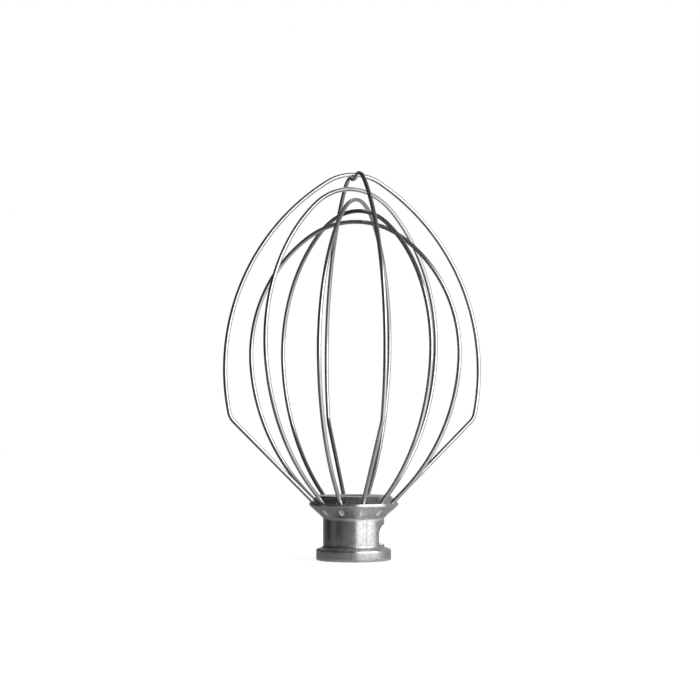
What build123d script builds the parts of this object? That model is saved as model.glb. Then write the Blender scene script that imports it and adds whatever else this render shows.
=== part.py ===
from build123d import *
import os
from math import atan2, cos, degrees, radians, sin, sqrt, tan

# Wire whisk for a stand mixer: a cast hub that twists onto the beater shaft and carries a nested cage of loops.
# Millimetres, +Z up. The whisk stands on its hub: the base face lies at z = 0 and the wire crowns are on top.

os.makedirs("parts", exist_ok=True)

# Wire stock, its play in a hub hole, and the gap where one loop rests on another
wire_d = 2.0
hole_play = 0.05
rest_gap = 0.05

# Hub casting: flange, shoulder, neck, cone, land and bevel, from the base upward
neck_d = 28.6
neck_top = 19.5
flange_overhang = 3.2
flange_h = 5.1
shoulder_h = 1.0
head_overhang = 6.5
cone_angle = 42.5
land_h = 1.1
bevel_length = 4.9
flange_edge_r = 0.7
neck_corner_r = 1.0
land_edge_r = 0.25
top_edge_r = 0.4

# Wire legs rise at this angle, a little steeper than the cone, and the bevel lies square to them
leg_angle = 45.0

# Wire holes: distance of a hole's centre from the bevel's lower edge, depth, and space behind the wire's end
hole_inset = 1.5
hole_depth = 8.5
end_space = 0.2

# Stake marks punched into the cone over each wire
stake_inset = 5.3
stake_r = 1.7
stake_run = 1.4
stake_depth = 0.4

# Shaft socket with a twist-lock: entry channel for the shaft's pin, and the window that the pin turns into
shaft_d = 12.7
shaft_play = 0.1
bore_chamfer = 0.5
pin_d = 4.8
pin_play = 0.3
channel_wall = 2.8
channel_angle = 40.0
window_w = 20.6
window_h = 9.1
window_sill = 7.4
window_bite = 3.4
window_top_r = 4.0
window_sill_r = 0.8

# Wide loops: crown height over the holes, legs up to the elbows, and how the side arc shares with the crown arc
outer_rise = 153.3
elbow_r = 7.8
outer_leg = 52.2
outer_elbow = 33.7
outer_share = 10.3

# The wide loop that dips under the other one, and how far it is turned from square to it
saddle_leg = 50.5
saddle_elbow = 27.0
saddle_share = 12.0
saddle_half = 8.5
saddle_depth = 1.5
saddle_turn = 1.0

# Nested loops: clear gaps between crowns, legs, lower bends, side arcs, and how far each leans out of upright
nested_count = 4
first_gap = 3.05
nested_gap = 3.15
nested_leg = 6.1
nested_bend_r = 101.0
nested_bend_step = 2.35
nested_bend = 40.4
nested_share = 3.0
nested_leans = [-0.3, -1.0, 0.15, 0.8]

# Hub section: its turned corners from the base upward, each with its edge radius, and the socket's sizes
leg_cos = cos(radians(leg_angle))
leg_sin = sin(radians(leg_angle))
neck_r = neck_d / 2
flange_r = neck_r + flange_overhang
head_r = neck_r + head_overhang
land_z = neck_top + head_overhang * tan(radians(cone_angle))
bevel_z = land_z + land_h
top_r = head_r - bevel_length * leg_sin
top_z = bevel_z + bevel_length * leg_cos
bore_r = shaft_d / 2 + shaft_play
channel_w = pin_d + 2 * pin_play
channel_end = neck_r - channel_wall - channel_w / 2
section_corners = [
    ((flange_r, 0), flange_edge_r),
    ((flange_r, flange_h), flange_edge_r),
    ((neck_r, flange_h + shoulder_h), neck_corner_r),
    ((neck_r, neck_top), neck_corner_r),
    ((head_r, land_z), land_edge_r),
    ((head_r, bevel_z), land_edge_r),
    ((top_r, top_z), top_edge_r),
]

# Where the wires stand: hole mouths on the bevel, and the feet of the wires in the holes below
mouth_r = head_r - hole_inset * leg_sin
mouth_z = bevel_z + hole_inset * leg_cos
foot_r = mouth_r - (hole_depth - end_space) * leg_cos
foot_drop = (hole_depth - end_space) * leg_sin

# Punch for the stake marks, out from a leg's axis by the metal under it less the mark's depth
cone_dip = radians(cone_angle)
mouth_cover = (mouth_z - land_z) * cos(cone_dip) + (head_r - mouth_r) * sin(cone_dip)
stake_cover = mouth_cover - stake_inset * sin(radians(leg_angle - cone_angle))
punch_drop = stake_cover + stake_r - stake_depth

# One ring of holes, two to a loop; the saddle loop stands across the plain wide loop
loop_count = nested_count + 2
loop_pitch = 180.0 / loop_count
saddle_slot = loop_count // 2
nested_slots = [slot for slot in range(1, loop_count) if slot != saddle_slot]
loop_turns = [slot * loop_pitch for slot in range(loop_count)]
loop_turns[saddle_slot] += saddle_turn
loop_leans = [0.0] * loop_count
for n in range(nested_count):
    loop_leans[nested_slots[n]] = nested_leans[n % len(nested_leans)]

# Crown heights of the wire centres over the hole mouths
saddle_low = outer_rise - wire_d - rest_gap
nested_rises = [saddle_low - wire_d - first_gap - n * (wire_d + nested_gap) for n in range(nested_count)]


def half_bends(leg, bend_r, bend, crown_r, crown_rise, share):
    """Bends from the end of a leg up to a level crown point, as (radius, turn in degrees).

    The lower bend is followed by a side arc and a crown arc that meet tangent to each other. Share is the
    tangent length of the side arc over that of the crown arc.
    """
    start = radians(leg_angle)
    rise = start + radians(bend)
    across = crown_r - mouth_r - leg * leg_cos - bend_r * (sin(rise) - sin(start))
    up = crown_rise - leg * leg_sin - bend_r * (cos(start) - cos(rise))
    along = across * (share * cos(rise) - 1) + up * share * sin(rise)
    spread = share * (1 + cos(rise))
    crown_t = (sqrt(along**2 + 2 * spread * (across**2 + up**2)) - along) / (2 * spread)
    side_t = share * crown_t
    meet = atan2(up - side_t * sin(rise), across + crown_t - side_t * cos(rise))
    side_turn = meet - rise
    crown_turn = radians(180) - meet
    return [
        (bend_r, bend),
        (side_t / tan(side_turn / 2), degrees(side_turn)),
        (crown_t / tan(crown_turn / 2), degrees(crown_turn)),
    ]


def loop_plane(slot):
    """Plane of a loop, through its two hole mouths and turned about them by the loop's lean."""
    turn = radians(loop_turns[slot])
    lean = radians(loop_leans[slot])
    normal = (sin(turn) * cos(lean), -cos(turn) * cos(lean), sin(lean))
    return Plane((0, 0, mouth_z), x_dir=(cos(turn), sin(turn), 0), z_dir=normal)


def loop_path(slot, leg, bends):
    """Centre line of a loop, foot to foot in the plane of its slot, through the given bends."""
    with BuildLine(loop_plane(slot)) as path:
        run = Line((foot_r, -foot_drop), (mouth_r + leg * leg_cos, leg * leg_sin))
        for radius, turn in bends:
            run = JernArc(start=run @ 1, tangent=run % 1, radius=radius, arc_size=turn)
        Line(run @ 1, (-foot_r, -foot_drop))
    return path.line


# Planes square to a loop's two legs at the hole mouths, seen in the loop's plane, with x towards the cone
leg_planes = [
    Plane((side * mouth_r, 0, 0), x_dir=(side * leg_sin, -leg_cos, 0), z_dir=(side * leg_cos, leg_sin, 0))
    for side in (1, -1)
]

# Hub: turned section, shaft bore, twist-lock, wire holes and stake marks
with BuildPart() as hub:
    with BuildSketch(Plane.XZ) as section:
        with BuildLine():
            Polyline((0, 0), *[corner for corner, _ in section_corners], (0, top_z), close=True)
        make_face()
        for corner, radius in section_corners:
            fillet(section.vertices().sort_by_distance(corner)[0], radius)
    revolve(axis=Axis.Z)

    Cylinder(bore_r, 2 * top_z, mode=Mode.SUBTRACT)
    chamfer(hub.edges(Select.LAST).filter_by(GeomType.CIRCLE), bore_chamfer)

    with BuildSketch(Plane.YZ.offset(bore_r - window_bite)) as window:
        with Locations((0, window_sill + window_h / 2)):
            Rectangle(window_w, window_h)
        fillet(window.vertices().group_by(Axis.Y)[-1], window_top_r)
        fillet(window.vertices().group_by(Axis.Y)[0], window_sill_r)
    extrude(amount=neck_d, mode=Mode.SUBTRACT)

    with BuildSketch(Plane.XY.rotated((0, 0, channel_angle))):
        with Locations((channel_end / 2, 0)):
            Rectangle(channel_end, channel_w)
        with Locations((channel_end, 0)):
            Circle(channel_w / 2)
    extrude(amount=window_sill + window_h / 2, mode=Mode.SUBTRACT)

    with Locations(*[loop_plane(slot) for slot in range(loop_count)]):
        with Locations(*leg_planes):
            Cylinder(wire_d / 2 + hole_play, 2 * hole_depth, mode=Mode.SUBTRACT)
            with Locations((punch_drop, 0, -stake_inset)):
                Cylinder(stake_r, stake_run, mode=Mode.SUBTRACT)
                with Locations((0, 0, stake_run / 2), (0, 0, -stake_run / 2)):
                    Sphere(stake_r, mode=Mode.SUBTRACT)

hub.part.label = "hub"
export_step(hub.part, "parts/hub.step")

# Plain wide loop
outer_rising = half_bends(outer_leg, elbow_r, outer_elbow, 0, outer_rise, outer_share)
outer_path = loop_path(0, outer_leg, outer_rising + outer_rising[::-1])
with BuildPart() as outer_wire:
    with BuildSketch(Plane(origin=outer_path @ 0, z_dir=outer_path % 0)):
        Circle(wire_d / 2)
    sweep(path=outer_path)
outer_wire.part.label = "outer_wire"
export_step(outer_wire.part, "parts/outer_wire.step")

# Wide loop with a saddle: down from each shoulder by one arc, and through the dip by the same arc turned over
saddle_rise = saddle_low + saddle_depth
saddle_rising = half_bends(saddle_leg, elbow_r, saddle_elbow, saddle_half, saddle_rise, saddle_share)
dip = 2 * atan2(saddle_depth, saddle_half)
dip_r = saddle_half / (2 * sin(dip))
saddle_dip = [(dip_r, degrees(dip)), (dip_r, -2 * degrees(dip)), (dip_r, degrees(dip))]
saddle_path = loop_path(saddle_slot, saddle_leg, saddle_rising + saddle_dip + saddle_rising[::-1])
with BuildPart() as saddle_wire:
    with BuildSketch(Plane(origin=saddle_path @ 0, z_dir=saddle_path % 0)):
        Circle(wire_d / 2)
    sweep(path=saddle_path)
saddle_wire.part.label = "saddle_wire"
export_step(saddle_wire.part, "parts/saddle_wire.step")

# Nested loops, each lower and slimmer than the one before
for n in range(nested_count):
    nested_bend_n = nested_bend_r - n * nested_bend_step
    nested_rising = half_bends(nested_leg, nested_bend_n, nested_bend, 0, nested_rises[n], nested_share)
    nested_path = loop_path(nested_slots[n], nested_leg, nested_rising + nested_rising[::-1])
    with BuildPart() as nested_wire:
        with BuildSketch(Plane(origin=nested_path @ 0, z_dir=nested_path % 0)):
            Circle(wire_d / 2)
        sweep(path=nested_path)
    nested_wire.part.label = f"nested_wire_{n + 1}"
    export_step(nested_wire.part, f"parts/nested_wire_{n + 1}.step")
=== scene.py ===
"""Looks of the stand mixer whisk: polished wire loops in a burnished cast hub, in a plain white studio."""

from __future__ import annotations

import logging
import math
from dataclasses import dataclass
from enum import Enum
from typing import Mapping, Sequence

import bmesh
import bpy
from mathutils import Matrix, Vector

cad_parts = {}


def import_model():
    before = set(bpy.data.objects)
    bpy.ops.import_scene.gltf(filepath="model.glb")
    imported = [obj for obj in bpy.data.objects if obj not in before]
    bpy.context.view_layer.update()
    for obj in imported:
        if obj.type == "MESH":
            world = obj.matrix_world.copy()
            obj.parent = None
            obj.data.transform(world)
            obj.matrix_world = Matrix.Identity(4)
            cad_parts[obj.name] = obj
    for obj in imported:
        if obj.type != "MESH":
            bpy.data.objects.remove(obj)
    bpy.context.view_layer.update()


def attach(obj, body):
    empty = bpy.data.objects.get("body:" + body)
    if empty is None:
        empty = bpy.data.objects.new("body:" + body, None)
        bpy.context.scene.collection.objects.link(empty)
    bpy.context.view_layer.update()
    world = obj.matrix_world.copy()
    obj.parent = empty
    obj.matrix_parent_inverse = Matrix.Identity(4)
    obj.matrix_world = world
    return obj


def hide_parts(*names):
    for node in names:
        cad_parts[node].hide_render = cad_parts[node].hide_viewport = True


LOG = logging.getLogger("whisk")
BODY = "root"

# Units in metres, and white with its alpha
MM = 0.001
MICRON = 0.000001
WHITE = (1.0, 1.0, 1.0, 1.0)

# How far edge wear and the inner corners' painted highlight reach from an edge, and the smallest
# rounding that shows them, in millimetres
WEAR_AND_HIGHLIGHT_REACH = 0.5
WEAR_AND_HIGHLIGHT_RADIUS = 0.2

# Level of the sheets that lie round the whisk, in metres
SHEET_LEVEL = -0.00002

# Short names for types
Point = tuple[float, float]
Triple = tuple[float, float, float]
EdgePoint = tuple[Point, float]
Pair = tuple[object, object]
Material = bpy.types.Material
Mesh = bpy.types.Mesh
Node = bpy.types.Node
Object = bpy.types.Object
Socket = bpy.types.NodeSocket
Tree = bpy.types.NodeTree
Given = Mapping[str, Socket]
Values = Mapping[str | int, object]


class Slot(Enum):
    """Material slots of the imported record."""

    HUB = "cast_hub"
    WIRE = "wire"


class Tone(Enum):
    """How bright a studio card looks in a reflection."""

    BLACK = 0.02
    DEEP = 0.05
    DARK = 0.1
    DIM = 0.2
    MIDDLE = 0.35
    GREY = 0.5
    PALE = 0.75


class Graph:
    """A node tree with short calls to add nodes, set their values and join them."""

    def __init__(self, tree: Tree) -> None:
        """Keeps the tree that the calls work on."""
        self.tree = tree

    def feed(self, target: Socket, source: object) -> None:
        """Gives an input what it takes.

        Args:
            target: the input.
            source: a socket, or a node for its first output, is linked; anything else is set as the value.
        """
        if isinstance(source, Node):
            source = source.outputs[0]
        if isinstance(source, Socket):
            self.tree.links.new(source, target)
        else:
            target.default_value = source

    def add(self, kind: str, values: Values | None = None, **settings: object) -> Node:
        """Adds a node.

        Args:
            kind: Blender's name for the node type.
            values: what its inputs take, by name or number; a list is for an input that takes several links.
            settings: properties of the node itself.

        Returns:
            The new node.
        """
        node = self.tree.nodes.new(kind)
        for key, value in settings.items():
            setattr(node, key, value)
        for key, value in (values or {}).items():
            for source in value if isinstance(value, list) else [value]:
                self.feed(node.inputs[key], source)
        return node

    def math(self, operation: str, *values: object) -> Socket:
        """Result of a Math node on up to three values, sockets or nodes."""
        return self.add("ShaderNodeMath", dict(enumerate(values)), operation=operation).outputs[0]

    def vector(self, operation: str, first: object, second: object) -> Socket:
        """Result of a Vector Math node on two vectors."""
        return self.add("ShaderNodeVectorMath", {0: first, 1: second}, operation=operation).outputs[0]

    def ramp(self, value: object, start: Pair, end: Pair) -> Socket:
        """A value taken from one range to another and held at both ends, each end given as (from, to)."""
        ends = {0: value, 1: start[0], 2: end[0], 3: start[1], 4: end[1]}
        return self.add("ShaderNodeMapRange", ends).outputs[0]

    def noise(self, vector: Socket, scale: object, detail: float, roughness: float = 0.5) -> Node:
        """A noise texture on the given coordinates."""
        values = {"Vector": vector, "Scale": scale, "Detail": detail, "Roughness": roughness}
        return self.add("ShaderNodeTexNoise", values)

    def summed(self, start: Socket, *shares: tuple[Socket, float]) -> Socket:
        """Adds masks to a value.

        Args:
            start: value to start from.
            shares: each mask, and what it adds where it is 1.

        Returns:
            The sum.
        """
        for mask, amount in shares:
            start = self.math("MULTIPLY_ADD", mask, amount, start)
        return start

    def attribute(self, name: str, output: str = "Fac") -> Socket:
        """One of the mesh's own attributes, as a material reads it."""
        return self.add("ShaderNodeAttribute", attribute_name=name).outputs[output]

    def parted(self, name: str) -> tuple[Socket, Socket]:
        """Reads a mesh attribute that runs from -1 to 1.

        Args:
            name: the attribute's name.

        Returns:
            How far it lies above 0, and how far below.
        """
        value = self.attribute(name)
        under = self.math("MULTIPLY", value, -1.0)
        return self.math("MAXIMUM", value, 0.0), self.math("MAXIMUM", under, 0.0)

    def tint(self, shade: Socket, blue: float) -> Node:
        """A grey of the given shade, with its blue taken times a factor."""
        tinted = self.math("MULTIPLY", shade, blue)
        return self.add("ShaderNodeCombineColor", {0: shade, 1: shade, 2: tinted})

    def effect(self, group: Tree, vector: Socket, **values: object) -> Socket:
        """What a shared effect puts out on the given coordinates, with its own inputs by name."""
        return self.add("ShaderNodeGroup", {"Vector": vector, **values}, node_tree=group).outputs[0]

    def noted(self, name: str, kind: str) -> Socket:
        """A named attribute of the geometry, as Geometry Nodes read it."""
        node = self.add("GeometryNodeInputNamedAttribute", {"Name": name}, data_type=kind)
        return node.outputs["Attribute"]

    def capture(self, curve: Node, name: str, value: Socket) -> Node:
        """Notes a value at each point of a curve.

        Args:
            curve: node that puts out the curve.
            name: name of the note.
            value: what is noted.

        Returns:
            The node, with the curve as its first output and the note as its second.
        """
        node = self.add("GeometryNodeCaptureAttribute", domain="POINT")
        node.capture_items.new("FLOAT", name)
        self.feed(node.inputs[0], curve)
        self.feed(node.inputs[1], value)
        return node

    def socket(self, name: str, kind: str, side: str = "INPUT", default: object = None) -> None:
        """Adds a named socket to a group or a Geometry Nodes tree.

        Args:
            name: the socket's name.
            kind: its type, without the common start of the type's name.
            side: INPUT or OUTPUT.
            default: value to start from.
        """
        made = self.tree.interface.new_socket(name, in_out=side, socket_type="NodeSocket" + kind)
        if default is not None:
            made.default_value = default


def shader_group(name: str, inputs: Mapping[str, object], output: str) -> tuple[Graph, Given]:
    """Starts a shader node group with a Vector input, named inputs and one value out.

    Args:
        name: the group's name.
        inputs: names and defaults of its other inputs; a triple makes a vector input.
        output: name of the value it puts out.

    Returns:
        The group's graph, and the inputs that it is given.
    """
    graph = Graph(bpy.data.node_groups.new(name, "ShaderNodeTree"))
    graph.socket("Vector", "Vector")
    for key, value in inputs.items():
        graph.socket(key, "Vector" if isinstance(value, tuple) else "Float", default=value)
    graph.socket(output, "Float", "OUTPUT")
    return graph, graph.add("NodeGroupInput").outputs


@dataclass(frozen=True)
class Scuffs:
    """Hairline scratches: their scale, their width, the share they cover, and the roughness they add."""

    scale: float
    width: float
    cover: float
    rough: float


class Effects:
    """Shader node groups that more than one finish uses."""

    def __init__(self) -> None:
        """Builds each group once."""
        self.streaks = self._streaks()
        self.mottle = self._mottle()
        self.scuffs = self._scuffs()

    @staticmethod
    def _streaks() -> Tree:
        """Builds fine lines drawn out along one direction.

        Returns:
            The group, which puts out 0 to 1.
        """
        graph, given = shader_group("drawn_streaks", {"Stretch": (1.0, 1.0, 1.0), "Contrast": 0.5}, "Streak")
        drawn = graph.vector("MULTIPLY", given["Vector"], given["Stretch"])
        lines = graph.noise(drawn, scale=1.0, detail=4.0, roughness=0.65)
        middle = 0.5
        half = graph.math("MULTIPLY", given["Contrast"], 0.5)
        low = graph.math("SUBTRACT", middle, half)
        high = graph.math("ADD", middle, half)
        graph.add("NodeGroupOutput", {0: graph.ramp(lines, (low, 0.0), (high, 1.0))})
        return graph.tree

    @staticmethod
    def _mottle() -> Tree:
        """Builds cloudy patches.

        Returns:
            The group, which puts out Low to High.
        """
        graph, given = shader_group("metal_mottle", {"Scale": 1.0, "Low": 0.0, "High": 1.0}, "Value")
        # Noise values at which a patch is thinnest and densest
        thin, dense = 0.32, 0.68
        cloud = graph.noise(given["Vector"], given["Scale"], detail=5.0, roughness=0.6)
        graph.add("NodeGroupOutput", {0: graph.ramp(cloud, (thin, given["Low"]), (dense, given["High"]))})
        return graph.tree

    @staticmethod
    def _scuffs() -> Tree:
        """Builds sparse hairline scratches along the borders of bent cells.

        Returns:
            The group, which puts out 1 on a scratch and 0 off it.
        """
        sizes = {"Scale": 1.0, "Width": 0.02, "Coverage": 0.5}
        graph, given = shader_group("hairline_scuffs", sizes, "Mask")
        place = given["Vector"]
        warp = graph.noise(place, scale=0.35, detail=2.0).outputs["Color"]
        cells = {"Vector": graph.vector("ADD", place, warp), "Scale": given["Scale"]}
        border = graph.add("ShaderNodeTexVoronoi", cells, feature="DISTANCE_TO_EDGE")
        line = graph.ramp(border, (0.0, 1.0), (given["Width"], 0.0))
        kept = graph.math("LESS_THAN", graph.noise(place, scale=0.22, detail=1.0), given["Coverage"])
        graph.add("NodeGroupOutput", {0: graph.math("MULTIPLY", line, kept)})
        return graph.tree

    def mottled(self, graph: Graph, vector: Socket, scale: float, ends: Point) -> Socket:
        """Cloudy patches in a material, from one value to another."""
        return graph.effect(self.mottle, vector, Scale=scale, Low=ends[0], High=ends[1])

    def scuffed(self, graph: Graph, vector: Socket, scuffs: Scuffs) -> Socket:
        """Hairline scratches in a material, as a mask."""
        sizes = {"Scale": scuffs.scale, "Width": scuffs.width, "Coverage": scuffs.cover}
        return graph.effect(self.scuffs, vector, **sizes)


def new_material(name: str) -> tuple[Material, Graph]:
    """Starts a material with an empty node tree.

    Args:
        name: the material's name.

    Returns:
        The material and its graph.
    """
    material = bpy.data.materials.new(name)
    material.use_nodes = True
    material.node_tree.nodes.clear()
    return material, Graph(material.node_tree)


@dataclass(frozen=True)
class DrawnSteel:
    """Polished stainless wire, with die lines along it and a few scuffs. Scales are for millimetres."""

    shade: Point = (0.6, 0.7)
    patch_scale: float = 0.12
    blue: float = 1.01
    roughness: Point = (0.1, 0.2)
    die_stretch: Triple = (0.05, 9.0, 9.0)
    die_contrast: float = 0.6
    die_shade: Point = (0.94, 1.03)
    die_depth: float = 0.006 * MM
    scuffs: Scuffs = Scuffs(scale=0.5, width=0.02, cover=0.42, rough=0.12)

    def material(self, effects: Effects) -> Material:
        """Builds the material.

        Args:
            effects: the shared node groups.

        Returns:
            The material for every loop.
        """
        material, graph = new_material("drawn_steel")
        along = graph.vector("MULTIPLY", graph.attribute("drawn", "Vector"), (1 / MM,) * 3)
        die = graph.effect(effects.streaks, along, Stretch=self.die_stretch, Contrast=self.die_contrast)
        patch = effects.mottled(graph, along, self.patch_scale, self.shade)
        scuff = effects.scuffed(graph, along, self.scuffs)
        lines = graph.ramp(die, (0.0, self.die_shade[0]), (1.0, self.die_shade[1]))
        polish = graph.ramp(die, (0.0, self.roughness[1]), (1.0, self.roughness[0]))
        surface = {
            "Base Color": graph.tint(graph.math("MULTIPLY", patch, lines), self.blue),
            "Roughness": graph.summed(polish, (scuff, self.scuffs.rough)),
            "Metallic": 1.0,
            "Normal": graph.add("ShaderNodeBump", {"Distance": self.die_depth, "Height": die}),
        }
        metal = graph.add("ShaderNodeBsdfPrincipled", surface)
        graph.add("ShaderNodeOutputMaterial", {"Surface": metal})
        return material


@dataclass(frozen=True)
class CastAluminium:
    """Burnished aluminium casting, with a patchy shade, grain and lumps. Scales are for millimetres.

    Its edges are worn bright. Its inner corners are dull and carry a painted highlight, a lighter base
    colour. A matt skin is left in places, cuts are smooth, and struck marks are frosted, with a painted
    highlight in their base colour.
    """

    shade: Point = (0.53, 0.71)
    patch_scale: float = 0.45
    speck: Point = (0.93, 1.05)
    speck_scale: float = 1.6
    blue: float = 0.995
    roughness: Point = (0.14, 0.4)
    dull: Point = (-0.3, 1.1)
    dull_scale: float = 0.5
    buff_stretch: Triple = (0.35, 0.35, 5.0)
    buff_contrast: float = 0.7
    grain_scale: float = 2.6
    grain_detail: float = 3.0
    grain_depth: float = 0.006 * MM
    lump_scale: float = 0.45
    lump_detail: float = 1.0
    lump_depth: float = 0.03 * MM
    worn_shade: float = 0.14
    worn_rough: float = -0.08
    # Painted highlight: base colour added in inner corners to show a light line there
    corner_painted_highlight: float = 0.1
    corner_rough: float = 0.25
    # Painted highlight: base colour added in the struck marks, standing in for light caught in the dimples
    struck_painted_highlight: float = 0.25
    struck_rough: float = 0.2
    struck_frost: float = 0.45
    skin_shade: float = -0.03
    skin_rough: float = 0.28
    cut_rough: float = -0.14
    cut_calm: float = 0.85
    scuffs: Scuffs = Scuffs(scale=0.3, width=0.03, cover=0.5, rough=0.1)

    def relief(self, graph: Graph, place: Socket, clean: Socket) -> Node:
        """Adds the casting's lumps and, over them, its grain.

        Args:
            graph: the material's graph.
            place: coordinates in millimetres.
            clean: mask of the cuts, where both are calmer.

        Returns:
            The node that puts out the normal.
        """
        rise = graph.math("MULTIPLY_ADD", clean, -self.cut_calm, 1.0)
        lumps = graph.math("MULTIPLY", graph.noise(place, self.lump_scale, self.lump_detail), rise)
        soft = graph.add("ShaderNodeBump", {"Distance": self.lump_depth, "Height": lumps})
        grain = graph.math("MULTIPLY", graph.noise(place, self.grain_scale, self.grain_detail), rise)
        return graph.add("ShaderNodeBump", {"Distance": self.grain_depth, "Height": grain, "Normal": soft})

    def material(self, effects: Effects) -> Material:
        """Builds the material.

        Args:
            effects: the shared node groups.

        Returns:
            The hub's material.
        """
        material, graph = new_material("cast_aluminium")
        place = graph.vector("MULTIPLY", graph.add("ShaderNodeTexCoord").outputs["Object"], (1 / MM,) * 3)
        worn, corner = graph.parted("edge")
        skin, clean = graph.parted("skin")
        struck = graph.attribute("struck")
        patch = effects.mottled(graph, place, self.patch_scale, self.shade)
        speck = effects.mottled(graph, place, self.speck_scale, self.speck)
        dull = effects.mottled(graph, place, self.dull_scale, self.dull)
        buffed = graph.effect(effects.streaks, place, Stretch=self.buff_stretch, Contrast=self.buff_contrast)
        scuff = effects.scuffed(graph, place, self.scuffs)
        shade = graph.summed(
            graph.math("MULTIPLY", patch, speck),
            (worn, self.worn_shade),
            # inner corners: painted highlight in the base colour
            (corner, self.corner_painted_highlight),
            # struck marks: painted highlight in the base colour, beside their real frosting and roughness
            (struck, self.struck_painted_highlight),
            (skin, self.skin_shade),
        )
        polish = graph.math("SUBTRACT", dull, buffed)
        rough = graph.summed(
            graph.ramp(polish, (-1.0, self.roughness[0]), (1.0, self.roughness[1])),
            (worn, self.worn_rough),
            (corner, self.corner_rough),
            (struck, self.struck_rough),
            (skin, self.skin_rough),
            (clean, self.cut_rough),
            (scuff, self.scuffs.rough),
        )
        surface = {
            "Base Color": graph.tint(shade, self.blue),
            "Roughness": rough,
            "Metallic": graph.math("MULTIPLY_ADD", struck, -self.struck_frost, 1.0),
            "Normal": self.relief(graph, place, clean),
        }
        metal = graph.add("ShaderNodeBsdfPrincipled", surface)
        graph.add("ShaderNodeOutputMaterial", {"Surface": metal})
        return material


def add_object(name: str, data: bpy.types.ID) -> Object:
    """Puts a mesh, a lamp or a camera into the scene.

    Args:
        name: the object's name.
        data: what it shows.

    Returns:
        The object, at the origin.
    """
    made = bpy.data.objects.new(name, data)
    bpy.context.scene.collection.objects.link(made)
    return made


def mesh_of(body: bmesh.types.BMesh, name: str) -> Mesh:
    """Turns a closed body into a mesh whose faces point outwards.

    Args:
        body: the body; it is freed.
        name: the mesh's name.

    Returns:
        The mesh.
    """
    bmesh.ops.recalc_face_normals(body, faces=body.faces)
    mesh = bpy.data.meshes.new(name)
    body.to_mesh(mesh)
    body.free()
    return mesh


def baked(source: Object, name: str, smooth_angle: float) -> Object:
    """Turns an object with live modifiers into a plain mesh object.

    Args:
        source: the object that carries the modifiers; it is removed.
        name: name of the plain object.
        smooth_angle: edges sharper than this, in degrees, stay sharp.

    Returns:
        The plain object.
    """
    depsgraph = bpy.context.evaluated_depsgraph_get()
    mesh = bpy.data.meshes.new_from_object(source.evaluated_get(depsgraph), depsgraph=depsgraph)
    mesh.name = name
    old = source.data
    bpy.data.objects.remove(source)
    bpy.data.meshes.remove(old)
    mesh.shade_smooth()
    mesh.set_sharp_from_angle(angle=math.radians(smooth_angle))
    return add_object(name, mesh)


def geometry_tree(name: str, inputs: Mapping[str, str]) -> tuple[Graph, Given]:
    """Starts a Geometry Nodes tree that takes a geometry, named sizes and a material.

    Args:
        name: the tree's name.
        inputs: names and types of the sizes.

    Returns:
        The tree's graph, and the inputs that it is given.
    """
    graph = Graph(bpy.data.node_groups.new(name, "GeometryNodeTree"))
    for key, kind in {"Geometry": "Geometry", **inputs, "Material": "Material"}.items():
        graph.socket(key, kind)
    graph.socket("Geometry", "Geometry", "OUTPUT")
    return graph, graph.add("NodeGroupInput").outputs


def end_tree(graph: Graph, shape: Node, finish: Socket) -> None:
    """Ends a Geometry Nodes tree in real geometry that wears its material.

    Args:
        graph: the tree's graph.
        shape: node that puts out the geometry.
        finish: the tree's material input.
    """
    whole = graph.add("GeometryNodeRealizeInstances", {0: shape})
    dressed = graph.add("GeometryNodeSetMaterial", {0: whole, "Material": finish})
    graph.add("NodeGroupOutput", {0: dressed})


def tree_modifier(target: Object, tree: Tree, values: Mapping[str, object]) -> None:
    """Adds a Geometry Nodes modifier and sets its inputs.

    Args:
        target: object that gets the modifier.
        tree: the node tree.
        values: inputs by their name in the tree.
    """
    modifier = target.modifiers.new(tree.name, "NODES")
    modifier.node_group = tree
    for item in tree.interface.items_tree:
        if item.in_out == "INPUT" and item.name in values:
            modifier[item.identifier] = values[item.name]


def rounded(corners: Sequence[EdgePoint], steps: int) -> list[EdgePoint]:
    """Rounds the corners of a closed outline.

    Args:
        corners: corner points in order, each with its radius.
        steps: parts that each rounding is divided into.

    Returns:
        The outline's points, each with its edge value: 1 on an outer edge, -1 in an inner corner, and 0
        where the rounding is too small to show wear or the inner corners' painted highlight.
    """
    points: list[EdgePoint] = []
    for i, (corner, radius) in enumerate(corners):
        here = Vector(corner)
        back = (Vector(corners[i - 1][0]) - here).normalized()
        ahead = (Vector(corners[(i + 1) % len(corners)][0]) - here).normalized()
        turn = math.pi - back.angle(ahead)
        side = math.copysign(1.0, ahead.x * back.y - ahead.y * back.x)
        tangent = radius * math.tan(turn / 2)
        centre = here + (back + ahead).normalized() * (radius / math.cos(turn / 2))
        start = here + back * tangent
        for step in range(steps + 1):
            spin = Matrix.Rotation(side * turn * step / steps, 2)
            spot = centre + spin @ (start - centre)
            points.append(((spot.x, spot.y), side if radius > WEAR_AND_HIGHLIGHT_RADIUS else 0.0))
    return points


def divided(points: Sequence[EdgePoint], pitch: float) -> list[EdgePoint]:
    """Divides the straight runs of a closed outline.

    Args:
        points: the outline's points, each with its edge value.
        pitch: longest straight piece that is left.

    Returns:
        The points with those in between, over which the edge values fade out.
    """
    made: list[EdgePoint] = []
    for i, (spot, edge) in enumerate(points):
        following, next_edge = points[(i + 1) % len(points)]
        run = Vector(following) - Vector(spot)
        parts = max(1, math.ceil(run.length / pitch))
        for part in range(parts):
            share = part / parts
            reach = min(share, 1 - share) * run.length
            near = edge if share < 0.5 else next_edge
            place = Vector(spot) + run * share
            made.append(((place.x, place.y), near * math.exp(-((reach / WEAR_AND_HIGHLIGHT_REACH) ** 2))))
    return made


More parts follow.
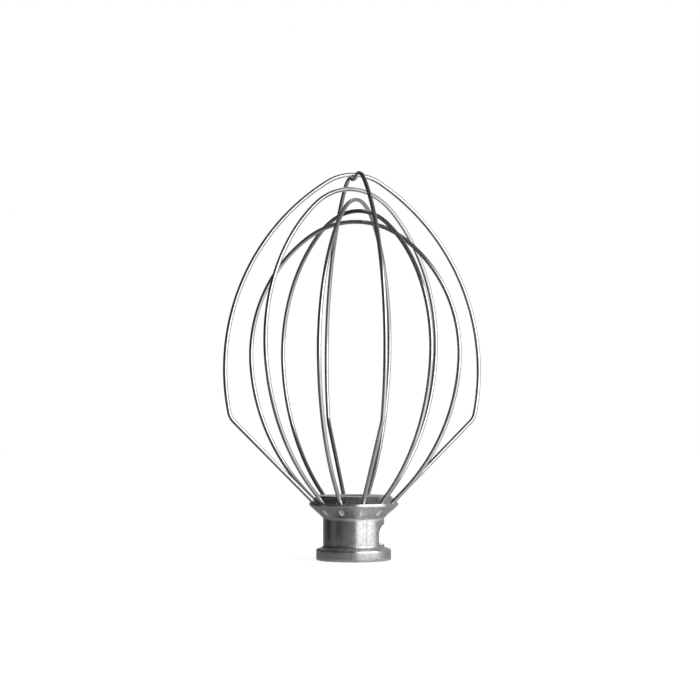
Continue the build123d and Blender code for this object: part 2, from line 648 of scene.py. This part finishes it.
@dataclass
class CastHub:
    """The hub casting, in millimetres and degrees: turned body, bore, twist-lock, holes and stake marks."""

    neck_d: float = 28.6
    neck_top: float = 19.5
    flange_overhang: float = 3.2
    flange_h: float = 5.1
    shoulder_h: float = 1.0
    head_overhang: float = 6.5
    cone_angle: float = 42.5
    land_h: float = 1.1
    bevel_length: float = 4.9
    flange_edge_r: float = 0.7
    neck_corner_r: float = 1.0
    land_edge_r: float = 0.25
    top_edge_r: float = 0.4
    lip_edge_r: float = 0.1
    edge_steps: int = 8
    section_pitch: float = 0.8
    skin_depth: float = 0.09
    leg_angle: float = 45.0
    loop_turns: tuple[float, ...] = (0.0, 30.0, 60.0, 91.0, 120.0, 150.0)
    loop_leans: tuple[float, ...] = (0.0, -0.3, -1.0, 0.0, 0.15, 0.8)
    hole_r: float = 1.05
    hole_inset: float = 1.5
    hole_depth: float = 8.5
    hole_sides: int = 48
    stake_inset: float = 5.3
    stake_r: float = 1.7
    stake_run: float = 1.4
    stake_depth: float = 0.4
    stake_sides: int = 32
    stake_fade: float = 0.1
    bore_r: float = 6.45
    bore_chamfer: float = 0.5
    channel_w: float = 5.4
    channel_wall: float = 2.8
    channel_angle: float = 40.0
    channel_steps: int = 24
    cutter_start: float = 1.0
    window_w: float = 20.6
    window_h: float = 9.1
    window_sill: float = 7.4
    window_bite: float = 3.4
    window_top_r: float = 4.0
    window_sill_r: float = 0.8
    window_steps: int = 10
    window_pitch: float = 1.0
    spoke_step: float = 1.5
    seam_angle: float = -77.0
    seam_half: float = 0.33
    seam_rise: float = 0.09
    seam_reach: float = 2.5
    seam_step: float = 0.25

    def __post_init__(self) -> None:
        """Works out the levels and radii that the other sizes lead to."""
        leg, cone = math.radians(self.leg_angle), math.radians(self.cone_angle)
        self.leg_cos, self.leg_sin = math.cos(leg), math.sin(leg)
        self.neck_r = self.neck_d / 2
        self.flange_r = self.neck_r + self.flange_overhang
        self.shoulder_z = self.flange_h + self.shoulder_h
        self.head_r = self.neck_r + self.head_overhang
        self.land_z = self.neck_top + self.head_overhang * math.tan(cone)
        self.bevel_z = self.land_z + self.land_h
        self.top_r = self.head_r - self.bevel_length * self.leg_sin
        self.top_z = self.bevel_z + self.bevel_length * self.leg_cos
        self.mouth_r = self.head_r - self.hole_inset * self.leg_sin
        self.mouth_z = self.bevel_z + self.hole_inset * self.leg_cos
        cover = (self.mouth_z - self.land_z) * math.cos(cone) + (self.head_r - self.mouth_r) * math.sin(cone)
        self.punch_drop = cover - self.stake_inset * math.sin(leg - cone) + self.stake_r - self.stake_depth

    def loop_frame(self, slot: int) -> Matrix:
        """Works out where a loop stands.

        Args:
            slot: the loop's place in the ring of holes.

        Returns:
            A frame from between the loop's hole mouths, with x towards the first and y up its leaning plane.
        """
        turn = Matrix.Rotation(math.radians(self.loop_turns[slot]), 4, "Z")
        lean = Matrix.Rotation(math.radians(90 - self.loop_leans[slot]), 4, "X")
        return Matrix.Translation((0, 0, self.mouth_z)) @ turn @ lean

    def section(self) -> list[EdgePoint]:
        """Works out the turned section.

        Returns:
            Points as radius and height, each with its edge value; the neck's lower corner is neither dull
            nor given the painted corner highlight.
        """
        lip = self.bore_r + self.bore_chamfer
        corners = [
            ((lip, 0.0), self.lip_edge_r),
            ((self.flange_r, 0.0), self.flange_edge_r),
            ((self.flange_r, self.flange_h), self.flange_edge_r),
            ((self.neck_r, self.shoulder_z), self.neck_corner_r),
            ((self.neck_r, self.neck_top), self.neck_corner_r),
            ((self.head_r, self.land_z), self.land_edge_r),
            ((self.head_r, self.bevel_z), self.land_edge_r),
            ((self.top_r, self.top_z), self.top_edge_r),
            ((lip, self.top_z), self.lip_edge_r),
            ((self.bore_r, self.top_z - self.bore_chamfer), self.lip_edge_r),
            ((self.bore_r, self.bore_chamfer), self.lip_edge_r),
        ]
        points = divided(rounded(corners, self.edge_steps), self.section_pitch)
        # Inner corners below half the neck's height lose their value: no dull finish and no painted
        # highlight
        return [(spot, max(edge, 0.0) if spot[1] < self.neck_top / 2 else edge) for spot, edge in points]

    def spokes(self) -> list[float]:
        """Works out the angles of the turned body's columns.

        Returns:
            Angles in radians, closer together at the two parting seams.
        """
        seams = [math.radians(self.seam_angle), math.radians(self.seam_angle + 180)]
        angles = [math.radians(self.spoke_step * step) for step in range(round(360 / self.spoke_step))]
        reach = math.radians(self.seam_reach)
        kept = [a for a in angles if all(abs(math.remainder(a - s, math.tau)) > reach for s in seams)]
        count = round(self.seam_reach / self.seam_step)
        fine = [s + math.radians(self.seam_step * step) for s in seams for step in range(-count, count + 1)]
        return sorted(math.remainder(a, math.tau) for a in kept + fine)

    def ridge(self, radius: float, height: float, angle: float) -> float:
        """Works out how far a parting seam stands out.

        Args:
            radius: the point's distance from the axis.
            height: its height.
            angle: its angle round the axis, in radians.

        Returns:
            The seam's rise there, 0 off the seams and off the outer wall.
        """
        if radius < self.neck_r - self.seam_half or not self.flange_edge_r < height < self.bevel_z:
            return 0.0
        off = abs(math.remainder(angle - math.radians(self.seam_angle), math.pi)) * radius
        return self.seam_rise * math.cos(min(off / self.seam_half, 1.0) * math.pi / 2) ** 2

    def skin(self, radius: float, height: float) -> float:
        """Tells how the casting's surface was left.

        Args:
            radius: the point's distance from the axis.
            height: its height.

        Returns:
            1 on the matt skin of the head's top and the flange's shoulder, -1 on the cut bevel, else 0.
        """
        if height > self.top_z - self.skin_depth:
            return 1.0
        if height > self.bevel_z and radius > self.top_r:
            return -1.0
        shoulder = self.neck_r < radius < self.flange_r and self.flange_h < height < self.shoulder_z
        return 1.0 if shoulder else 0.0

    def turned(self) -> Mesh:
        """Builds the body of revolution with its bore and its parting seams.

        Returns:
            The mesh, with its edge values, which carry edge wear and the inner corners' painted highlight,
            and its skin as attributes.
        """
        body = bmesh.new()
        wear = body.verts.layers.float.new("edge")
        matt = body.verts.layers.float.new("skin")
        section = self.section()
        columns = []
        for angle in self.spokes():
            column = []
            for (radius, height), edge in section:
                out = radius + self.ridge(radius, height, angle)
                spot = Vector((out * math.cos(angle), out * math.sin(angle), height)) * MM
                vertex = body.verts.new(spot)
                vertex[wear] = edge
                vertex[matt] = self.skin(radius, height)
                column.append(vertex)
            columns.append(column)
        for this, following in zip(columns, columns[1:] + columns[:1]):
            for row in range(len(section)):
                below = (row + 1) % len(section)
                body.faces.new((this[row], following[row], following[below], this[below]))
        return mesh_of(body, "turned_hub")

    @staticmethod
    def prism(name: str, outline: Sequence[Point], depth: float, place: Matrix) -> Object:
        """Builds a straight cutter.

        Args:
            name: the cutter's name.
            outline: its outline, in millimetres.
            depth: its length along its own z.
            place: where the outline's plane lies, in millimetres.

        Returns:
            The cutter as an object.
        """
        body = bmesh.new()
        face = body.faces.new([body.verts.new(Vector((x, y, 0))) for x, y in outline])
        grown = bmesh.ops.extrude_face_region(body, geom=[face])["geom"]
        lifted = [item for item in grown if isinstance(item, bmesh.types.BMVert)]
        bmesh.ops.translate(body, vec=(0, 0, depth), verts=lifted)
        bmesh.ops.transform(body, matrix=Matrix.Scale(MM, 4) @ place, verts=body.verts)
        return add_object(name, mesh_of(body, name))

    def window_cutter(self) -> Object:
        """Builds the cutter for the window that the shaft's pin turns into, on the +X side.

        Returns:
            The cutter as an object.
        """
        half, low, high = self.window_w / 2, self.window_sill, self.window_sill + self.window_h
        corners = [
            ((-half, low), self.window_sill_r),
            ((half, low), self.window_sill_r),
            ((half, high), self.window_top_r),
            ((-half, high), self.window_top_r),
        ]
        outline = [spot for spot, _ in divided(rounded(corners, self.window_steps), self.window_pitch)]
        start = self.bore_r - self.window_bite
        across = Matrix(((0, 0, 1, start), (1, 0, 0, 0), (0, 1, 0, 0), (0, 0, 0, 1)))
        return self.prism("window_cutter", outline, self.neck_d, across)

    def channel_cutter(self) -> Object:
        """Builds the cutter for the channel that lets the shaft's pin in from the base.

        Returns:
            The cutter as an object.
        """
        half = self.channel_w / 2
        reach = self.neck_r - self.channel_wall - half
        steps = self.channel_steps
        turns = [math.radians(-90 + 180 * step / steps) for step in range(steps + 1)]
        end = [(reach + half * math.cos(turn), half * math.sin(turn)) for turn in turns]
        start = Matrix.Translation((0, 0, -self.cutter_start))
        place = Matrix.Rotation(math.radians(self.channel_angle), 4, "Z") @ start
        depth = self.window_sill + self.window_h / 2 + self.cutter_start
        return self.prism("channel_cutter", [(0.0, half), (0.0, -half)] + end, depth, place)

    def hole_ring(self) -> Object:
        """Builds the mouths of the wire holes as points.

        Returns:
            The points as an object, each with the turn of its hole about x and z.
        """
        mouths, turns = [], []
        for side in (1, -1):
            for slot, (turn, lean) in enumerate(zip(self.loop_turns, self.loop_leans)):
                mouths.append(self.loop_frame(slot) @ Vector((side * self.mouth_r, 0, 0)) * MM)
                turns += [-side * math.radians(lean), 0.0, math.radians(turn + 90 - 90 * side)]
        mesh = bpy.data.meshes.new("hole_ring")
        mesh.from_pydata(mouths, [], [])
        mesh.attributes.new("turn", "FLOAT_VECTOR", "POINT").data.foreach_set("vector", turns)
        return add_object("hole_ring", mesh)

    def punch(self, graph: Graph, given: Given) -> Node:
        """Adds the nodes of one punch: a slanted wire hole and, beside it, a stake drawn out along the hole.

        Args:
            graph: the tree's graph.
            given: the tree's inputs.

        Returns:
            The node that puts out the punch.
        """
        length = graph.math("MULTIPLY", given["Hole Depth"], 2.0)
        bar = {"Vertices": self.hole_sides, "Radius": given["Hole Radius"], "Depth": length}
        hole = graph.add("GeometryNodeMeshCylinder", bar)
        sides = self.stake_sides
        globe = {"Segments": sides, "Rings": sides // 2, "Radius": given["Stake Radius"]}
        ball = graph.add("GeometryNodeMeshUVSphere", globe)
        # The ball's halves are pulled apart along z, and its equator stays where it is
        height = graph.add("ShaderNodeSeparateXYZ", {0: graph.add("GeometryNodeInputPosition")}).outputs["Z"]
        halves = graph.math("SIGN", graph.math("TRUNC", graph.math("MULTIPLY", height, 1 / MICRON)))
        pull = graph.math("MULTIPLY", halves, graph.math("MULTIPLY", given["Stake Run"], 0.5))
        drawn = graph.add("ShaderNodeCombineXYZ", {"Z": pull})
        capsule = graph.add("GeometryNodeSetPosition", {"Geometry": ball, "Offset": drawn})
        mark = {"Geometry": capsule, "Name": "struck", "Value": 1.0}
        marked = graph.add("GeometryNodeStoreNamedAttribute", mark)
        inset = graph.math("MULTIPLY", given["Stake Inset"], -1.0)
        spot = graph.add("ShaderNodeCombineXYZ", {"X": given["Stake Drop"], "Z": inset})
        stake = graph.add("GeometryNodeTransform", {"Geometry": marked, "Translation": spot})
        pair = graph.add("GeometryNodeJoinGeometry", {0: [hole, stake]})
        lean = graph.add("ShaderNodeCombineXYZ", {"Y": given["Tilt"]})
        return graph.add("GeometryNodeTransform", {"Geometry": pair, "Rotation": lean})

    def punch_tree(self) -> Tree:
        """Builds Geometry Nodes that cut wire holes and stake marks out of the body at a ring of points.

        Returns:
            The tree.
        """
        stake = ("Stake Radius", "Stake Run", "Stake Drop", "Stake Inset")
        sizes = dict.fromkeys(("Tilt", "Hole Radius", "Hole Depth", *stake), "Float")
        graph, given = geometry_tree("ring_of_wire_holes", {"Ring": "Object", **sizes})
        ring = graph.add("GeometryNodeObjectInfo", {"Object": given["Ring"]}).outputs["Geometry"]
        turn = graph.noted("turn", "FLOAT_VECTOR")
        set_round = {"Points": ring, "Instance": self.punch(graph, given), "Rotation": turn}
        punches = graph.add("GeometryNodeInstanceOnPoints", set_round)
        cutters = graph.add("GeometryNodeRealizeInstances", {0: punches})
        meshes = {0: given["Geometry"], 1: cutters}
        cut = graph.add("GeometryNodeMeshBoolean", meshes, operation="DIFFERENCE", solver="EXACT")
        stakes = graph.add("GeometryNodeSeparateGeometry", {0: cutters, 1: graph.noted("struck", "FLOAT")})
        reach = graph.add("GeometryNodeProximity", {0: stakes}).outputs["Distance"]
        fade = graph.ramp(reach, (0.0, 1.0), (self.stake_fade * MM, 0.0))
        mark = {"Geometry": cut, "Name": "struck", "Value": fade}
        struck = graph.add("GeometryNodeStoreNamedAttribute", mark)
        end_tree(graph, struck, given["Material"])
        return graph.tree

    def build(self, finish: Material) -> Object:
        """Builds and dresses the hub.

        Args:
            finish: the hub's material.

        Returns:
            The finished piece.
        """
        body = add_object("turned_hub", self.turned())
        cutters = [self.window_cutter(), self.channel_cutter()]
        for cutter in cutters:
            cut = body.modifiers.new(cutter.name, "BOOLEAN")
            cut.operation, cut.solver, cut.object = "DIFFERENCE", "EXACT", cutter
        ring = self.hole_ring()
        sizes = {
            "Ring": ring,
            "Tilt": math.radians(90 - self.leg_angle),
            "Hole Radius": self.hole_r * MM,
            "Hole Depth": self.hole_depth * MM,
            "Stake Radius": self.stake_r * MM,
            "Stake Run": self.stake_run * MM,
            "Stake Drop": self.punch_drop * MM,
            "Stake Inset": self.stake_inset * MM,
            "Material": finish,
        }
        tree_modifier(body, self.punch_tree(), sizes)
        piece = baked(body, "hub_casting", smooth_angle=30)
        for helper in cutters + [ring]:
            bpy.data.meshes.remove(helper.data)
        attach(piece, BODY)
        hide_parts("hub")
        return piece


@dataclass(frozen=True)
class Bend:
    """One arc of a loop: its radius in millimetres and its turn in radians, negative for the other hand."""

    radius: float
    turn: float


@dataclass
class WireCage:
    """The loops of the whisk, in millimetres and degrees, standing in the hub's ring of holes."""

    hub: CastHub
    wire_d: float = 2.0
    drawn_d: float = 1.99
    rest_gap: float = 0.05
    end_space: float = 0.2
    outer_rise: float = 153.3
    elbow_r: float = 7.8
    outer_leg: float = 52.2
    outer_elbow: float = 33.7
    outer_share: float = 10.3
    outer_slot: int = 0
    saddle_leg: float = 50.5
    saddle_elbow: float = 27.0
    saddle_share: float = 12.0
    saddle_half: float = 8.5
    saddle_depth: float = 1.5
    saddle_slot: int = 3
    nested_slots: tuple[int, ...] = (1, 2, 4, 5)
    first_gap: float = 3.05
    nested_gap: float = 3.15
    nested_leg: float = 6.1
    nested_bend_r: float = 101.0
    nested_bend_step: float = 2.35
    nested_bend: float = 40.4
    nested_share: float = 3.0
    leg_pitch: float = 4.4
    arc_pitch: float = 1.1
    arc_parts: int = 6
    sides: int = 24

    def __post_init__(self) -> None:
        """Works out how high the saddle's dip stands over the holes."""
        self.saddle_low = self.outer_rise - self.wire_d - self.rest_gap

    def half_bends(self, leg: float, bend: Bend, crown: Point, share: float) -> list[Bend]:
        """Works out the bends from the end of a leg up to a level crown point.

        Args:
            leg: straight run from the hole's mouth.
            bend: the lower bend.
            crown: radius and height over the holes where the wire lies level.
            share: tangent length of the side arc over that of the crown arc.

        Returns:
            The lower bend, the side arc and the crown arc.
        """
        hub, start = self.hub, math.radians(self.hub.leg_angle)
        rise = start + bend.turn
        across = crown[0] - hub.mouth_r - leg * hub.leg_cos
        across -= bend.radius * (math.sin(rise) - math.sin(start))
        up = crown[1] - leg * hub.leg_sin - bend.radius * (math.cos(start) - math.cos(rise))
        along = across * (share * math.cos(rise) - 1) + up * share * math.sin(rise)
        spread = share * (1 + math.cos(rise))
        crown_t = (math.sqrt(along**2 + 2 * spread * (across**2 + up**2)) - along) / (2 * spread)
        side_t = share * crown_t
        meet = math.atan2(up - side_t * math.sin(rise), across + crown_t - side_t * math.cos(rise))
        side_turn, crown_turn = meet - rise, math.pi - meet
        side = Bend(side_t / math.tan(side_turn / 2), side_turn)
        return [bend, side, Bend(crown_t / math.tan(crown_turn / 2), crown_turn)]

    def outer_bends(self) -> list[Bend]:
        """Works out the plain wide loop.

        Returns:
            Its bends from leg to leg.
        """
        elbow = Bend(self.elbow_r, math.radians(self.outer_elbow))
        rising = self.half_bends(self.outer_leg, elbow, (0.0, self.outer_rise), self.outer_share)
        return rising + rising[::-1]

    def saddle_bends(self) -> list[Bend]:
        """Works out the wide loop that dips under the other one.

        Returns:
            Its bends from leg to leg.
        """
        elbow = Bend(self.elbow_r, math.radians(self.saddle_elbow))
        crown = (self.saddle_half, self.saddle_low + self.saddle_depth)
        rising = self.half_bends(self.saddle_leg, elbow, crown, self.saddle_share)
        dip = 2 * math.atan2(self.saddle_depth, self.saddle_half)
        radius = self.saddle_half / (2 * math.sin(dip))
        return rising + [Bend(radius, dip), Bend(radius, -2 * dip), Bend(radius, dip)] + rising[::-1]

    def nested_bends(self, number: int) -> list[Bend]:
        """Works out one of the nested loops.

        Args:
            number: the loop's number, counted from the outside and from 0.

        Returns:
            Its bends from leg to leg.
        """
        crown = self.saddle_low - self.wire_d - self.first_gap - number * (self.wire_d + self.nested_gap)
        bend = Bend(self.nested_bend_r - number * self.nested_bend_step, math.radians(self.nested_bend))
        rising = self.half_bends(self.nested_leg, bend, (0.0, crown), self.nested_share)
        return rising + rising[::-1]

    def centre_line(self, leg: float, bends: Sequence[Bend]) -> list[Vector]:
        """Works out points along a loop's centre, foot to foot.

        Args:
            leg: straight run from the hole's mouth.
            bends: the arcs between the two legs.

        Returns:
            Points as radius and height over the holes.
        """
        hub = self.hub
        heading = Vector((hub.leg_cos, hub.leg_sin))
        mouth = Vector((hub.mouth_r, 0.0))
        foot = mouth - heading * (hub.hole_depth - self.end_space)
        points = self.straight(foot, mouth + heading * leg)
        for bend in bends:
            points += self.arc(points[-1], heading, bend)
            heading = Matrix.Rotation(bend.turn, 2) @ heading
        return points + self.straight(points[-1], Vector((-foot.x, foot.y)))[1:]

    def straight(self, start: Vector, end: Vector) -> list[Vector]:
        """Points along a straight run, both ends included."""
        parts = max(1, math.ceil((end - start).length / self.leg_pitch))
        return [start.lerp(end, step / parts) for step in range(parts + 1)]

    def arc(self, start: Vector, heading: Vector, bend: Bend) -> list[Vector]:
        """Works out points along an arc.

        Args:
            start: where the arc starts.
            heading: direction of the wire there.
            bend: the arc's radius and turn.

        Returns:
            The points, without the start.
        """
        side = math.copysign(1.0, bend.turn)
        centre = start + Vector((-heading.y, heading.x)) * (bend.radius * side)
        parts = max(self.arc_parts, math.ceil(bend.radius * abs(bend.turn) / self.arc_pitch))
        spins = (Matrix.Rotation(bend.turn * step / parts, 2) for step in range(1, parts + 1))
        return [centre + spin @ (start - centre) for spin in spins]

    @staticmethod
    def tube_tree() -> Tree:
        """Builds Geometry Nodes that draw a round wire along a path.

        Returns:
            The tree, which notes each point's place along and around the wire as the attribute drawn.
        """
        graph, given = geometry_tree("drawn_wire", {"Wire Radius": "Float", "Sides": "Int"})
        place, radius = graph.add("GeometryNodeSplineParameter").outputs, given["Wire Radius"]
        path = graph.add("GeometryNodeMeshToCurve", {0: given["Geometry"]})
        rail = graph.capture(path, "Along", place["Length"])
        outline = {"Resolution": given["Sides"], "Radius": radius}
        circle = graph.add("GeometryNodeCurvePrimitiveCircle", outline)
        rim = graph.capture(circle, "Around", place["Factor"])
        tube = graph.add("GeometryNodeCurveToMesh", {"Curve": rail, "Profile Curve": rim, "Fill Caps": True})
        turn = graph.math("MULTIPLY", rim.outputs[1], math.tau)
        across = graph.math("MULTIPLY", graph.math("COSINE", turn), radius)
        beside = graph.math("MULTIPLY", graph.math("SINE", turn), radius)
        drawn = graph.add("ShaderNodeCombineXYZ", {"X": rail.outputs[1], "Y": across, "Z": beside})
        note = {"Geometry": tube, "Name": "drawn", "Value": drawn}
        noted = graph.add("GeometryNodeStoreNamedAttribute", note, data_type="FLOAT_VECTOR", domain="POINT")
        end_tree(graph, noted, given["Material"])
        return graph.tree

    def loop(self, node: str, slot: int, line: Sequence[Vector], tree: Tree, finish: Material) -> Object:
        """Builds and dresses one loop.

        Args:
            node: CAD node that the loop stands for.
            slot: its place in the ring of holes.
            line: its centre line as radius and height over the holes.
            tree: the Geometry Nodes that draw the wire.
            finish: the wire's material.

        Returns:
            The finished piece.
        """
        frame = self.hub.loop_frame(slot)
        spots = [frame @ Vector((spot.x, spot.y, 0)) * MM for spot in line]
        mesh = bpy.data.meshes.new(node + "_path")
        mesh.from_pydata(spots, [(i, i + 1) for i in range(len(spots) - 1)], [])
        path = add_object(node + "_path", mesh)
        sizes = {"Wire Radius": self.drawn_d / 2 * MM, "Sides": self.sides, "Material": finish}
        tree_modifier(path, tree, sizes)
        piece = baked(path, node + "_drawn", smooth_angle=60)
        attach(piece, BODY)
        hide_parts(node)
        return piece

    def build(self, finish: Material) -> list[Object]:
        """Builds and dresses every loop.

        Args:
            finish: the wire's material.

        Returns:
            The finished pieces.
        """
        tree = self.tube_tree()
        loops = [
            ("outer_wire", self.outer_slot, self.outer_leg, self.outer_bends()),
            ("saddle_wire", self.saddle_slot, self.saddle_leg, self.saddle_bends()),
        ]
        for number, slot in enumerate(self.nested_slots):
            loops.append((f"nested_wire_{number + 1}", slot, self.nested_leg, self.nested_bends(number)))
        pieces = []
        for node, slot, leg, bends in loops:
            pieces.append(self.loop(node, slot, self.centre_line(leg, bends), tree, finish))
        return pieces


@dataclass(frozen=True)
class Card:
    """A card bent round the whisk that shows only in reflections, or a sheet that lies round it.

    Stops are degrees to the right of the camera, each with its tone. Spread is how far the card's two edges
    lie from the whisk's axis, and heights are how high, in metres. Step is about a facet's width in degrees.
    """

    name: str
    stops: tuple[tuple[float, Tone], ...]
    spread: Point = (0.75, 0.75)
    heights: Point = (-0.02, 0.9)
    step: float = 5.0

    @classmethod
    def sheet(cls, name: str, spread: Point, *stops: tuple[float, Tone]) -> Card:
        """A sheet that lies round the whisk."""
        return cls(name, stops, spread, heights=(SHEET_LEVEL, SHEET_LEVEL))

    def columns(self) -> list[Point]:
        """Works out the card's columns.

        Returns:
            Angles along the card, each with the tone there.
        """
        made = []
        for (start, tone), (end, next_tone) in zip(self.stops, self.stops[1:]):
            parts = max(1, round((end - start) / self.step))
            for part in range(parts + 1):
                share = part / parts
                level = tone.value + (next_tone.value - tone.value) * share
                made.append((start + (end - start) * share, level))
        return made


@dataclass
class Studio:
    """Floor, light and camera, in metres and degrees, with the lens and its sensor in millimetres."""

    azimuth: float = -11.8
    distance: float = 0.7973
    eye_height: float = 0.0598
    pitch: float = 2.75
    yaw: float = 0.13
    roll: float = 0.07
    lens: float = 87.38
    sensor: float = 36.0
    clip: Point = (0.01, 50.0)
    room_light: float = 0.8
    floor_glow: float = 0.7
    floor_shade: float = 0.42
    floor_half: float = 4.0
    floor_level: float = -0.05 * MM
    box_angle: float = 48.5
    box_distance: float = 0.9
    box_middle: float = 0.45
    box_width: float = 1.6
    box_height: float = 1.0
    box_level: float = 1.5
    cards: tuple[Card, ...] = (
        Card("left_flag", ((-172.0, Tone.DIM), (-150.0, Tone.BLACK), (-30.0, Tone.DEEP), (13.0, Tone.DARK))),
        Card(
            "right_card",
            ((80.0, Tone.PALE), (92.0, Tone.GREY), (105.0, Tone.MIDDLE), (170.0, Tone.MIDDLE)),
        ),
        Card.sheet(
            "left_sheet",
            (0.09, 0.75),
            (-180.0, Tone.MIDDLE),
            (-160.0, Tone.DIM),
            (-142.0, Tone.DIM),
            (-122.0, Tone.DEEP),
            (-98.0, Tone.BLACK),
            (-80.0, Tone.DIM),
            (-62.0, Tone.DEEP),
            (-42.0, Tone.DARK),
            (-28.0, Tone.DIM),
            (9.0, Tone.DIM),
        ),
        # Painted shadow: a dimmer floor near the whisk's foot, seen only in reflections
        Card.sheet(
            "left_foot_sheet",
            (0.001, 0.09),
            (-180.0, Tone.MIDDLE),
            (-140.0, Tone.DIM),
            (-60.0, Tone.DIM),
            (9.0, Tone.MIDDLE),
        ),
        # Painted shadow: a dimmer floor near the whisk's foot, seen only in reflections
        Card.sheet("front_foot_sheet", (0.001, 0.05), (9.0, Tone.GREY), (88.0, Tone.GREY)),
        Card.sheet("front_sheet", (0.05, 0.1), (9.0, Tone.PALE), (88.0, Tone.PALE)),
        Card.sheet("right_sheet", (0.001, 0.75), (88.0, Tone.MIDDLE), (180.0, Tone.MIDDLE)),
        Card(
            "ceiling_flag",
            (
                (-180.0, Tone.DEEP),
                (-80.0, Tone.DEEP),
                (-50.0, Tone.DARK),
                (62.0, Tone.DARK),
                (88.0, Tone.DIM),
                (130.0, Tone.DIM),
                (180.0, Tone.DEEP),
            ),
            spread=(0.001, 0.9),
            heights=(0.9, 0.9),
        ),
    )

    def towards(self, angle: float) -> Vector:
        """Level direction from the whisk, at an angle to the right of the camera."""
        turn = math.radians(self.azimuth + angle)
        return Vector((math.sin(turn), -math.cos(turn), 0.0))

    @staticmethod
    def seen(graph: Graph) -> Socket:
        """Tells rays that look from light that falls.

        Args:
            graph: graph of the floor or the world.

        Returns:
            1 for camera, glossy and transmission rays, 0 for light that falls on things.
        """
        path = graph.add("ShaderNodeLightPath").outputs
        both = graph.math("MAXIMUM", path["Is Camera Ray"], path["Is Glossy Ray"])
        return graph.math("MAXIMUM", both, path["Is Transmission Ray"])

    def light_room(self) -> None:
        """Sets up white surroundings to look at, and a plain even light on things."""
        world = bpy.data.worlds.new("white_room")
        world.use_nodes = True
        graph = Graph(world.node_tree)
        graph.tree.nodes.clear()
        level = graph.ramp(self.seen(graph), (0.0, self.room_light), (1.0, 1.0))
        glow = graph.add("ShaderNodeBackground", {"Color": WHITE, "Strength": level})
        graph.add("ShaderNodeOutputWorld", {"Surface": glow}, is_active_output=True)
        bpy.context.scene.world = world

    def lay_floor(self) -> None:
        """Lays a wide pale floor that looks white and keeps the whisk's shadow."""
        material, graph = new_material("pale_floor")
        paint = graph.add("ShaderNodeBsdfDiffuse", {"Color": (self.floor_shade,) * 3 + (1.0,)})
        level = graph.math("MULTIPLY", self.seen(graph), self.floor_glow)
        glow = graph.add("ShaderNodeEmission", {"Color": WHITE, "Strength": level})
        both = graph.add("ShaderNodeAddShader", {0: paint, 1: glow})
        graph.add("ShaderNodeOutputMaterial", {"Surface": both})
        half, z = self.floor_half, self.floor_level
        corners = [(-half, -half, z), (half, -half, z), (half, half, z), (-half, half, z)]
        mesh = bpy.data.meshes.new("floor")
        mesh.from_pydata(corners, [], [(0, 1, 2, 3)])
        mesh.materials.append(material)
        add_object("floor", mesh)

    @staticmethod
    def card_finish() -> Material:
        """Builds a flat finish that takes each card's own tones.

        Returns:
            The material.
        """
        material, graph = new_material("studio_card")
        glow = graph.add("ShaderNodeEmission", {"Color": graph.attribute("tone", "Color"), "Strength": 1.0})
        graph.add("ShaderNodeOutputMaterial", {"Surface": glow})
        return material

    def hang_card(self, card: Card, finish: Material) -> None:
        """Builds one card, seen in reflections only.

        Args:
            card: where the card is and its tones.
            finish: the finish that shows the tones.
        """
        columns = card.columns()
        spots, tones = [], []
        for angle, tone in columns:
            for reach, height in zip(card.spread, card.heights):
                spots.append(self.towards(angle) * reach + Vector((0, 0, height)))
                tones += [tone] * 3
        facets = [(2 * i, 2 * i + 2, 2 * i + 3, 2 * i + 1) for i in range(len(columns) - 1)]
        mesh = bpy.data.meshes.new(card.name)
        mesh.from_pydata(spots, [], facets)
        mesh.attributes.new("tone", "FLOAT_VECTOR", "POINT").data.foreach_set("vector", tones)
        mesh.materials.append(finish)
        made = add_object(card.name, mesh)
        made.visible_camera = made.visible_diffuse = made.visible_shadow = False

    def place_softbox(self) -> None:
        """Places one large soft light at the right front."""
        lamp = bpy.data.lights.new("softbox", "AREA")
        lamp.shape = "RECTANGLE"
        lamp.size, lamp.size_y = self.box_width, self.box_height
        lamp.energy = self.box_level * math.pi * self.box_width * self.box_height
        softbox = add_object("softbox", lamp)
        way = self.towards(self.box_angle)
        softbox.location = way * self.box_distance + Vector((0, 0, self.box_middle))
        softbox.rotation_euler = (-way).to_track_quat("-Z", "Y").to_euler()

    def place_camera(self) -> None:
        """Places the camera at the photograph's viewing angle."""
        lens = bpy.data.cameras.new("camera")
        lens.lens, lens.sensor_width = self.lens, self.sensor
        lens.clip_start, lens.clip_end = self.clip
        camera = add_object("camera", lens)
        heading = Matrix.Rotation(math.radians(self.azimuth + self.yaw), 4, "Z")
        tilt = Matrix.Rotation(math.radians(90 + self.pitch), 4, "X")
        lean = Matrix.Rotation(math.radians(self.roll), 4, "Z")
        spot = self.towards(0.0) * self.distance + Vector((0, 0, self.eye_height))
        camera.matrix_world = Matrix.Translation(spot) @ heading @ tilt @ lean
        bpy.context.scene.camera = camera

    def build(self) -> None:
        """Sets up the whole studio."""
        bpy.context.scene.view_settings.view_transform = "Standard"
        self.light_room()
        self.lay_floor()
        finish = self.card_finish()
        for card in self.cards:
            self.hang_card(card, finish)
        self.place_softbox()
        self.place_camera()


def main() -> None:
    """Loads the frame, builds the hub, the loops and the studio, and notes the sizes."""
    logging.basicConfig(level=logging.INFO, format="%(name)s: %(message)s")
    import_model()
    effects = Effects()
    hub = CastHub()
    casting = hub.build(CastAluminium().material(effects))
    loops = WireCage(hub).build(DrawnSteel().material(effects))
    for piece in [casting, *loops]:
        LOG.info("%s: %d faces", piece.name, len(piece.data.polygons))
    Studio().build()


if __name__ == "__main__":
    main()
